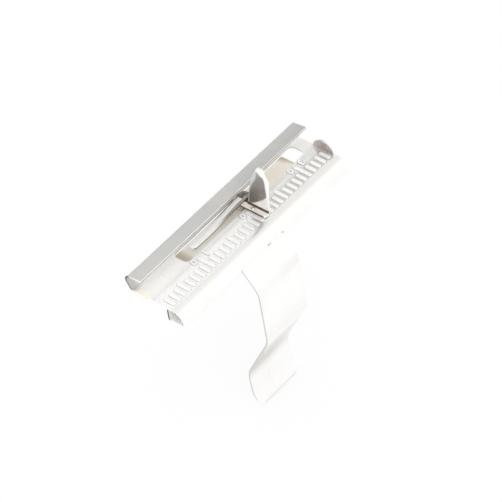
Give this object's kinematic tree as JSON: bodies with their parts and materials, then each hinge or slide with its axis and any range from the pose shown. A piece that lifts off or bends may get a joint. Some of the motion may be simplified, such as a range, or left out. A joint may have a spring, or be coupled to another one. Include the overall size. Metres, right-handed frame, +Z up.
{
  "type": "hand exerciser with scale",
  "caption": "Folded steel palm bar with a raised scale, a sliding thumb tab and a sprung finger lever hinged in its rolled edge.",
  "frame": {"origin": "middle of the bar's length and width, on top of its plate", "axes": "+X along the bar towards the end with the upturned lug, +Y towards the hooked lip, +Z up, square to the plate"},
  "size_m": [0.1086, 0.0385, 0.1165],
  "materials": {
    "plated_sheet": "bright nickel plate",
    "lever_sheet": "bright nickel plate",
    "brass": "satin",
    "rivet_steel": "smooth",
    "spring_steel": "drawn wire"
  },
  "bodies": {
    "bar": {"scale_bar": "plated_sheet", "brass_strip": "brass", "brass_strip_rivet": "rivet_steel", "hinge_pin": "rivet_steel", "hinge_bush_near": "brass", "hinge_bush_far": "brass", "bush_rivet_near": "rivet_steel", "bush_rivet_far": "rivet_steel", "retaining_ring_near": "spring_steel", "retaining_ring_far": "spring_steel", "torsion_spring": "spring_steel"},
    "lever": {"finger_lever": "lever_sheet"},
    "slider": {"slider_tab": "plated_sheet", "slider_tail_leaf": "plated_sheet", "slider_slot_block": "brass", "slider_guide_plate": "plated_sheet", "slider_rivet": "rivet_steel", "index_rivet": "rivet_steel"}
  },
  "joints": [
    {"name": "lever_hinge", "type": "hinge", "parent": "bar", "child": "lever", "pos_m": [0, -0.01065, -0.0038], "axis": [1, 0, 0], "range_deg": [0, 40], "stiffness_Nm_per_rad": 0.1, "springref_deg": -28.65, "deforming": ["torsion_spring"]},
    {"name": "slider_slide", "type": "slide", "parent": "bar", "child": "slider", "axis": [1, 0, 0], "range_m": [-0.028, 0.031]}
  ]
}
